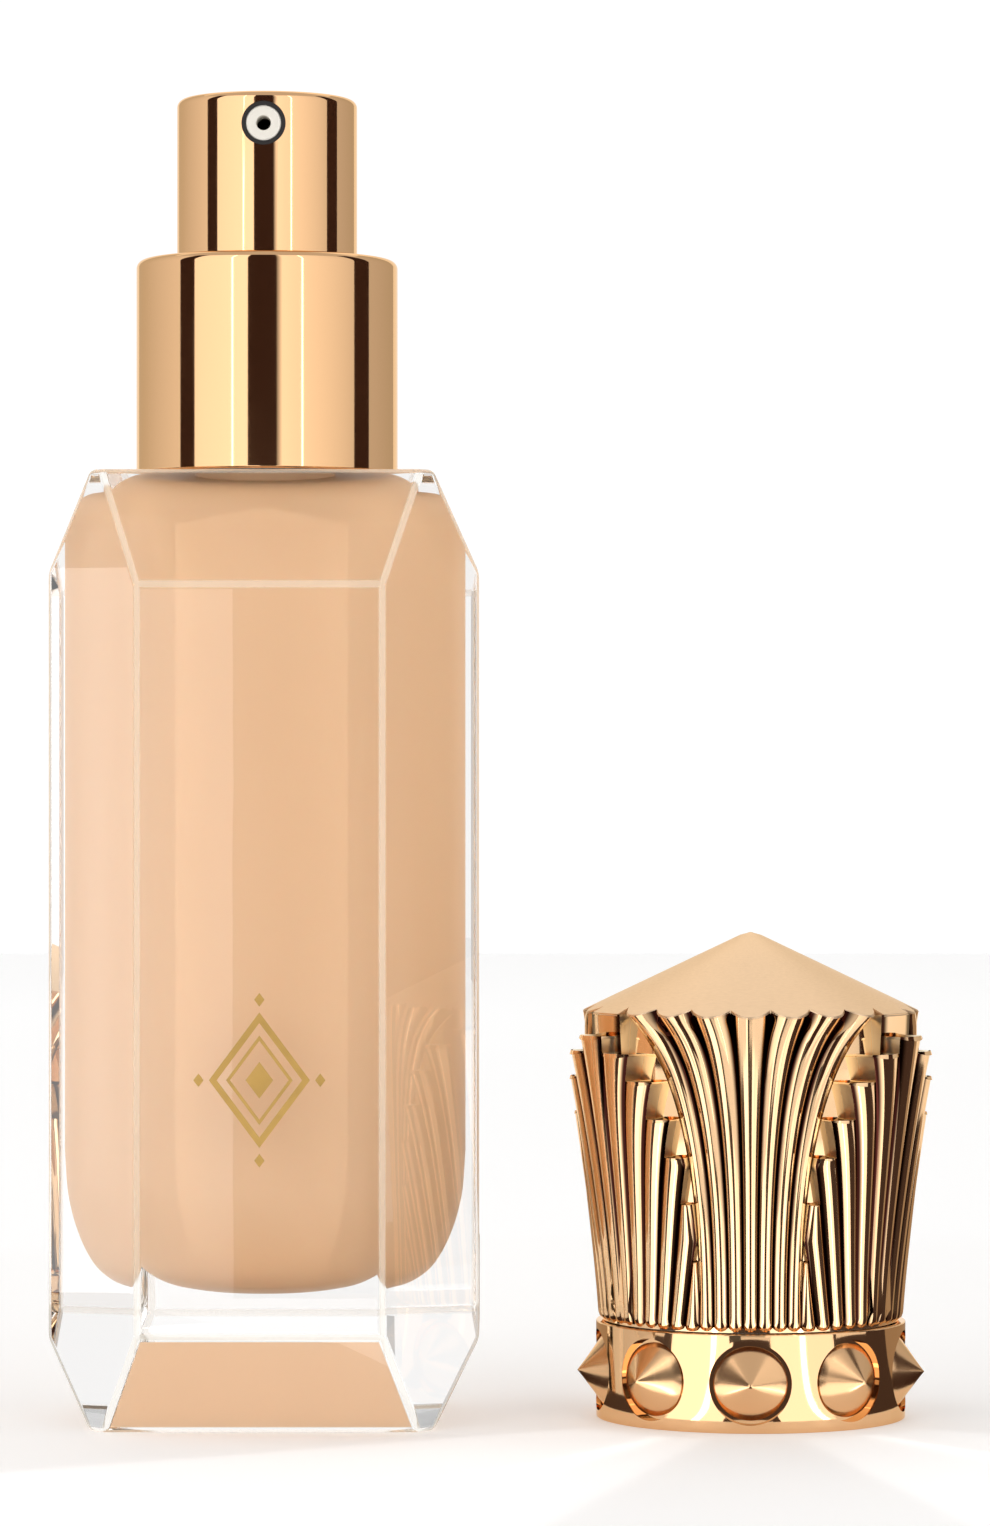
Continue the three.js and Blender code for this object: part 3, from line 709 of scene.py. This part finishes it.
def on_cap(angle, radius, height):
    """A point round the cap's axis; angle 0 faces the front and grows towards +X."""
    a = math.radians(angle)
    return Vector((radius * math.sin(a), -radius * math.cos(a), height))


def cone(radius):
    """Height of the roof's slope over a radius."""
    return ROOF_APEX - ROOF_SLOPE * radius


def rib(bm, centre, edge, radius, top, swell, across, up):
    """One rib: a grid bent round the axis, its face swelling between its edges, thickened inwards."""
    groove = bm.loops.layers.float["groove"]
    grid = bmesh.ops.create_grid(bm, x_segments=across, y_segments=up, size=1.0)
    front = {face for vert in grid["verts"] for face in vert.link_faces}
    # The groove layer runs from 0 at the rib's middle to 1 at its edges; the crown's gold is painted darker towards 1,
    # as painted shade.
    for loop in (loop for face in front for loop in face.loops):
        loop[groove] = abs(loop.vert.co.x)
    back = bmesh.ops.extrude_face_region(bm, geom=list(front), use_keep_orig=True)
    behind = [item for item in back["geom"] if isinstance(item, bmesh.types.BMVert)]
    # On the faces round the thickened back, tops get 0.78, mostly painted shade, and side walls get -1, a painted
    # highlight.
    for face in {face for vert in behind for face in vert.link_faces} - front:
        on_top = all(vert.co.y > 0.999 for vert in face.verts)
        for loop in face.loops:
            loop[groove] = 0.78 if on_top else -1.0
    full = (top - CROWN_FOOT) / CROWN_HEIGHT
    for verts, buried in ((grid["verts"], False), (behind, True)):
        for vert in verts:
            u, s = vert.co.x, (vert.co.y + 1) / 2 * full
            left, right = edge(-1, s), edge(1, s)
            angle = centre + (left + right) / 2 + u * (right - left) / 2
            crest = radius(s) - swell(s) * u * u
            toe = s * CROWN_HEIGHT / 0.9
            if toe < 1:
                crest -= 0.5 * (1 - math.sqrt(max(0.0, 1 - (1 - toe) ** 2)))
            height = CROWN_FOOT + s * CROWN_HEIGHT
            if vert.co.y > 0.999 and top == CROWN_TOP:
                height = cone(crest) - 0.1
            elif vert.co.y > 0.999:
                height -= ROOF_SLOPE * (crest - fan_radius(s))
            vert.co = on_cap(angle, FOOT_RADIUS - 0.6 if buried else crest, height)
    return grid


def fan_swell(s): return 0.34 + 0.3 * s ** 2 + 0.6 * s ** 14


def fan_ribs(bm, centre):
    pitch = FAN_SPAN / FAN_RIBS
    for i in range(FAN_RIBS):
        k = i - (FAN_RIBS - 1) / 2
        rib(bm, centre, lambda side, s: pitch * (k + side / 2) * fan_opening(s), fan_radius,
            CROWN_TOP, fan_swell, 12, 60)


def step_ribs(bm, centre):
    count = len(STEP_TOPS)
    pitch = (120 - FAN_SPAN) / (2 * count - 1)
    for j in range(1 - count, count):
        def edge(side, s):
            limit = 60 - FAN_SPAN / 2 * fan_opening(s) + 0.5
            return max(-limit, min(limit, pitch * (j + side / 2) * step_opening(s)))
        rib(bm, centre, edge, step_radius, STEP_TOPS[abs(j)], lambda s: 0.36 + 0.14 * s, 10, 48)


def cap_crown():
    bm = bmesh.new()
    # The groove layer says where the crown's gold gets painted shade and painted highlight.
    bm.loops.layers.float.new("groove")
    rows = [(fan_radius(i / 12) - 0.42 - 0.9 * (i / 12) ** 6, CROWN_FOOT + CROWN_HEIGHT * i / 12) for i in range(13)]
    turned(bm, [(12.65, CROWN_FOOT), *rows, (12.65, CROWN_TOP)], 144)
    drum = fan_radius(1.0) - 0.05
    for k in range(3):
        rib(bm, 120 * k + 60, lambda side, s: side * (61 - FAN_SPAN / 2 * fan_opening(1.0)),
            lambda s: min(drum, fan_radius(s)), CROWN_TOP - 0.001, lambda s: 0.0, 24, 20)
    for k in range(3):
        fan_ribs(bm, 120 * k)
        step_ribs(bm, 120 * k + 60)
    cap_place(bm)
    return finished("crown_body", bm, "polished_gold", "cap", "cap_crown", sharp=35, material=CROWN_GOLD)


def eave_radius(angle):
    """How far the roof reaches: out over each fan rib's crest, and in at the grooves between."""
    turn = (angle + 60) % 120 - 60
    pitch = FAN_SPAN / FAN_RIBS * fan_opening(1.0)
    if abs(turn) > pitch * FAN_RIBS / 2:
        return EAVE
    across = (turn / pitch + FAN_RIBS / 2) % 1 * 2 - 1
    return EAVE - fan_swell(1.0) * across * across + 0.02


def cap_roof():
    """The cone, with its eave scalloped where it meets the fan ribs."""
    bm = bmesh.new()
    tip = arc((0, ROOF_APEX - 0.75), (0.55, 0.55), 60, 90, 5)
    outer = [(EAVE, ROOF_FOOT), *[(radius, cone(radius)) for radius in (EAVE - 0.1, 13, 10, 6, 0.95)]]
    under = [(0, ROOF_APEX - 1.1), (12.95, ROOF_APEX - 1.1 - ROOF_SLOPE * 12.95), (12.95, ROOF_FOOT - 0.8),
             (13.4, ROOF_FOOT - 0.8)]
    turned(bm, [*under, *outer, *tip[:-1], (0, ROOF_APEX - 0.2)], 720)
    for vert in bm.verts:
        radius = math.hypot(vert.co.x, vert.co.y)
        if radius > 14.5:
            angle = math.degrees(math.atan2(vert.co.x, -vert.co.y))
            edge = eave_radius(angle)
            rim = radius > EAVE - 0.05
            vert.co = on_cap(angle, edge - (0 if rim else 0.1), cone(edge) - (0.17 if rim else 0) + (0 if rim else 0.03))
    cap_place(bm)
    return finished("roof_cone", bm, "satin_gold", "cap", "cap_roof")


STUDS = 9
BAND_RADIUS, BAND_INNER = 13.9, 12.65
DISH, DISH_FLOOR = 3.63, 13.1


def cap_band():
    bm = bmesh.new()
    height = band_high.z
    turned(bm, rounded([(BAND_INNER, 0.0), (BAND_RADIUS, 0.0), (BAND_RADIUS, height),
                        (BAND_INNER, height)], 0.12) , 216)
    cutters = []
    for i in range(STUDS):
        dish = bmesh.new()
        bmesh.ops.create_cone(dish, cap_ends=True, segments=72, radius1=DISH, radius2=DISH, depth=2.0,
                              matrix=Matrix.Rotation(TAU * i / STUDS, 4, "Z")
                              @ Matrix.Translation((0, -DISH_FLOOR - 1, height / 2))
                              @ Matrix.Rotation(math.radians(90), 4, "X"))
        cutters.append(dish)
    bm = combine(bm, cutters, "DIFFERENCE")
    cap_place(bm)
    return finished("band_ring", bm, "polished_gold", "cap", "cap_band", sharp=25)


def cap_studs():
    height = band_high.z
    for i in range(STUDS):
        bm = bmesh.new()
        reach, base = 2.6, 3.24
        profile = [(0, 0), (base, 0), (base, 0.12), *[(base * (1 - t / 12) ** 1.04, 0.16 + (reach - 0.16) * t / 12)
                                                     for t in range(1, 12)], (0, reach)]
        turned(bm, profile, 96)
        bmesh.ops.rotate(bm, verts=bm.verts, cent=(0, 0, 0),
                         matrix=Matrix.Rotation(math.radians(90), 3, "X"))
        bmesh.ops.translate(bm, verts=bm.verts, vec=(0, -DISH_FLOOR - 0.05, height / 2))
        bmesh.ops.rotate(bm, verts=bm.verts, cent=(0, 0, 0), matrix=Matrix.Rotation(TAU * i / STUDS, 3, "Z"))
        cap_place(bm)
        finished(f"stud_{i + 1}", bm, "polished_gold", "cap", f"cap_stud_{i + 1}", material=STUD_GOLD)


def cap_liner():
    bm = bmesh.new()
    inner, outer = 11.95, 12.55
    low, high = liner_low.z, liner_high.z
    turned(bm, [(0, high - 0.6), (inner, high - 0.6), (inner, low + 0.3), (inner + 0.3, low), (outer, low),
                (outer, high), (0, high)], 144)
    cap_place(bm)
    return finished("cap_cup", bm, "cream_plastic", "cap", "cap_liner")


# ---- Studio ----

def sheet_of(name, size, matrix, material, camera=True):
    bm = bmesh.new()
    across = bm.loops.layers.float.new("across")
    bmesh.ops.create_grid(bm, x_segments=1, y_segments=1, size=0.5)
    for loop in (loop for face in bm.faces for loop in face.loops):
        loop[across] = loop.vert.co.x + 0.5
    bm.transform(matrix @ Matrix.Diagonal((size[0], size[1], 1, 1)))
    mesh = bpy.data.meshes.new(name)
    bm.to_mesh(mesh)
    bm.free()
    mesh.materials.append(material)
    item = bpy.data.objects.new(name, mesh)
    bpy.context.collection.objects.link(item)
    item.visible_camera = camera
    return item


def facing(azimuth, elevation, distance, height=0.0):
    """A frame that faces the middle from a place round it; azimuth 0 is the front."""
    return (Matrix.Translation((0, 0, height)) @ Matrix.Rotation(math.radians(azimuth), 4, "Z")
            @ Matrix.Rotation(math.radians(90 - elevation), 4, "X") @ Matrix.Translation((0, 0, distance)))


def arc_card(name, start, end, distance, low, high, material):
    """A tall card between two azimuths."""
    middle, width = (start + end) / 2, 2 * distance * math.tan(math.radians(abs(end - start)) / 2)
    matrix = facing(middle, 0, distance, (low + high) / 2)
    return sheet_of(name, (width, high - low), matrix, material, False)


TABLE_SECTORS = [(-180, -106, 0.38), (-106, -58, 0.0), (-58, -30, 2.0), (-30, -26, 5.0), (-26, -15, 1.9),
                 (-15, 11, 0.0), (11, 31, 1.8), (31, 35, 5.0), (35, 56, 1.6), (56, 108, 0.0), (108, 180, 0.34)]


def table_card(start, end, strength):
    """A wedge low round the cap, seen only in its metal: it carries the tall cards' pattern down to the foot."""
    bm = bmesh.new()
    low, high = (bm.verts.new(on_cap(start, radius, 0.6)) for radius in (17.5, 120 if strength > 3 else 185))
    edge = bm.edges.new((low, high))
    bmesh.ops.spin(bm, geom=[low, high, edge], axis=(0, 0, 1), cent=(0, 0, 0),
                   angle=math.radians(end - start), steps=max(2, round((end - start) / 4)))
    bmesh.ops.translate(bm, verts=bm.verts, vec=(CAP_X, 0, 0))
    bmesh.ops.scale(bm, verts=bm.verts, vec=(MM, MM, MM))
    mesh = bpy.data.meshes.new("table_card")
    bm.to_mesh(mesh)
    bm.free()
    tone = (1.0, 0.99, 0.98) if strength > 1 else (1.0, 0.80, 0.62) if strength else (0.030, 0.010, 0.006)
    mesh.materials.append(card("table_card", tone, strength or 1.0))
    item = bpy.data.objects.new("table_card", mesh)
    bpy.context.collection.objects.link(item)
    item.visible_camera = item.visible_diffuse = item.visible_transmission = item.visible_shadow = False


def side_light(name, azimuth, power):
    """A soft light from the side that brightens the foundation but isn't mirrored in the metal."""
    lamp = bpy.data.lights.new(name, "AREA")
    lamp.shape, lamp.size, lamp.size_y, lamp.energy = "RECTANGLE", 0.6, 0.6, power
    item = bpy.data.objects.new(name, lamp)
    item.matrix_world = facing(azimuth, 12, 0.8)
    item.visible_glossy = item.visible_camera = item.visible_transmission = False
    bpy.context.collection.objects.link(item)


def studio():
    flag = card("flag", (0.030, 0.010, 0.006))
    sheet_of("floor", (6.0, 6.0), Matrix.Identity(4), plain_paper())
    sheet_of("backdrop", (5.0, 3.0), facing(180, 0, 1.2, 1.4), card("backdrop", (1, 1, 1), 1.02))
    arc_card("flag_left", -79.5, -64, 0.9, 0.0, 1.1, flag)
    arc_card("flag_middle", -14.5, 10.5, 0.9, 0.115, 1.1, flag)
    arc_card("soft_edge", 10.5, 15.5, 0.93, 0.115, 1.1, gradient_card("soft_edge", 0.2, 1.5))
    arc_card("flag_right", 84.5, 103, 0.9, 0.0, 1.1, flag)
    lights = [("left", -64, -11.5, 1.42, 1.65), ("right", 10, 84.5, 1.55, 0.85), ("low", -11.5, 10, 0.8, 0.8),
              ("far_left", -125, -79.5, 0.72, 0.98), ("far_right", 103, 150, 0.66, 0.52),
              ("back_left", -152, -125, 0.6, 0.72)]
    for name, start, end, first, last in lights:
        top = 0.115 if name == "low" else 1.1
        material = gradient_card("softbox_" + name, first, last)
        arc_card("softbox_" + name, start, end, 0.97, 0.0, top, material)
    for name, left, right, strength in (("left", -0.036, -0.0078, 1.9), ("right", -0.0078, 0.022, 0.1)):
        matrix = Matrix.Translation(((left + right) / 2, -0.13, 0.0405)) @ Matrix.Rotation(math.radians(90), 4, "X")
        near = sheet_of("near_" + name, (right - left, 0.079), matrix, card("near_" + name, (1, 1, 1), strength), False)
        near.visible_shadow = near.visible_diffuse = near.visible_transmission = False
    matrix = Matrix.Translation((-0.13, -0.005, 0.0405)) @ Matrix.Rotation(math.radians(90), 4, "Y")
    near = sheet_of("near_side", (0.079, 0.05), matrix, card("near_side", (1, 1, 1), 3.0), False)
    near.visible_shadow = near.visible_diffuse = near.visible_transmission = False
    glint = card("strip_light", (1.0, 1.0, 1.0), 4.5)
    arc_card("strip_left", -28.7, -27.3, 0.93, 0.0, 0.9, glint)
    arc_card("strip_right", 32.3, 33.7, 0.93, 0.0, 0.9, glint)
    for start, end, strength in TABLE_SECTORS:
        table_card(start, end, strength)
    side_light("side_light_left", -95, 2.4)
    side_light("side_light_right", 95, 2.0)
    overhead = card("softbox_overhead", (1.0, 0.99, 0.98), 1.3)
    sheet_of("softbox_overhead", (0.55, 0.45), facing(178, 50, 1.0), overhead, False)
    world = bpy.data.worlds.new("studio")
    bpy.context.scene.world = world
    world.use_nodes = True
    world.node_tree.nodes["Background"].inputs["Color"].default_value = (1.0, 0.99, 0.98, 1.0)
    world.node_tree.nodes["Background"].inputs["Strength"].default_value = 0.68


def camera():
    data = bpy.data.cameras.new("camera")
    data.lens = 129.75
    data.sensor_width = 36.0
    data.dof.use_dof = False
    view = bpy.data.objects.new("camera", data)
    view.location = (0.0205, -0.495, 0.0587)
    view.rotation_euler = (math.radians(90), 0, 0)
    bpy.context.collection.objects.link(view)
    bpy.context.scene.camera = view
    bpy.context.scene.view_settings.view_transform = "Standard"
    bpy.context.scene.view_settings.look = "None"


# ---- Everything ----

def dress_frame():
    """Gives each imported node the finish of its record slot."""
    slots = {part["node"]: part["material_slot"] for part in frame["record"]["subparts"]}
    for node, item in frame["nodes"].items():
        item.data.materials.clear()
        item.data.materials.append(FINISHES[slots[node]])


dress_frame()
camera()
studio()
glass_bottle()
foundation_fill()
paint_base_reflection()
foil_mark()
collar()
head()
nozzle()
nozzle_gasket()
spring()
cap_crown()
cap_roof()
cap_band()
cap_studs()
cap_liner()
